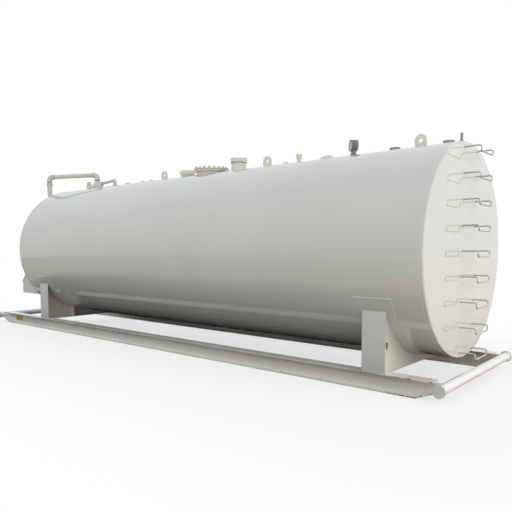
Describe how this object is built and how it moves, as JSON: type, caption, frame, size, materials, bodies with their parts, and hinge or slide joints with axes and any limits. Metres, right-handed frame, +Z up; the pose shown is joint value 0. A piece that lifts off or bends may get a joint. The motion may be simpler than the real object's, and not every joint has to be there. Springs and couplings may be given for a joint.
{
  "type": "horizontal skid storage tank",
  "caption": "Horizontal cylindrical steel tank with flanged flat heads on plate saddles and a sled skid with drag bars; steps on one head, lifting lugs and fittings on the crown.",
  "frame": {"origin": "middle of the skid on the ground", "axes": "+X along the tank towards the head with the steps, +Y to the back beam, +Z up"},
  "size_m": [10.188, 2.5998, 3.254],
  "materials": {
    "tank_paint": "gloss",
    "skid_paint": "satin",
    "fitting_paint": "satin",
    "gauge_grey": "matte"
  },
  "bodies": {
    "root": {"shell_course_1": "tank_paint", "shell_course_2": "tank_paint", "shell_course_3": "tank_paint", "shell_course_4": "tank_paint", "shell_course_5": "tank_paint", "head_left": "tank_paint", "head_right": "tank_paint", "wear_plate_left": "skid_paint", "wear_plate_right": "skid_paint", "saddle_web_left": "skid_paint", "saddle_web_right": "skid_paint", "saddle_base_left": "skid_paint", "saddle_base_right": "skid_paint", "saddle_posts": "skid_paint", "saddle_stiffeners": "skid_paint", "skid_beam_front": "skid_paint", "skid_beam_back": "skid_paint", "drag_bar_left": "skid_paint", "drag_bar_right": "skid_paint", "drag_bar_caps": "skid_paint", "step_1": "fitting_paint", "step_2": "fitting_paint", "step_3": "fitting_paint", "step_4": "fitting_paint", "step_5": "fitting_paint", "step_6": "fitting_paint", "step_7": "fitting_paint", "step_8": "fitting_paint", "step_9": "fitting_paint", "lifting_lug_1": "fitting_paint", "lifting_lug_2": "fitting_paint", "lifting_lug_3": "fitting_paint", "lifting_lug_4": "fitting_paint", "manway_neck": "fitting_paint", "manway_cover": "fitting_paint", "emergency_vent": "fitting_paint", "emergency_vent_lid": "fitting_paint", "low_vent": "fitting_paint", "small_vent": "fitting_paint", "fill_pipe": "fitting_paint", "fill_box": "fitting_paint", "fill_box_lid": "fitting_paint", "return_line": "fitting_paint", "crown_plugs": "fitting_paint", "level_gauge": "gauge_grey"}
  },
  "joints": []
}
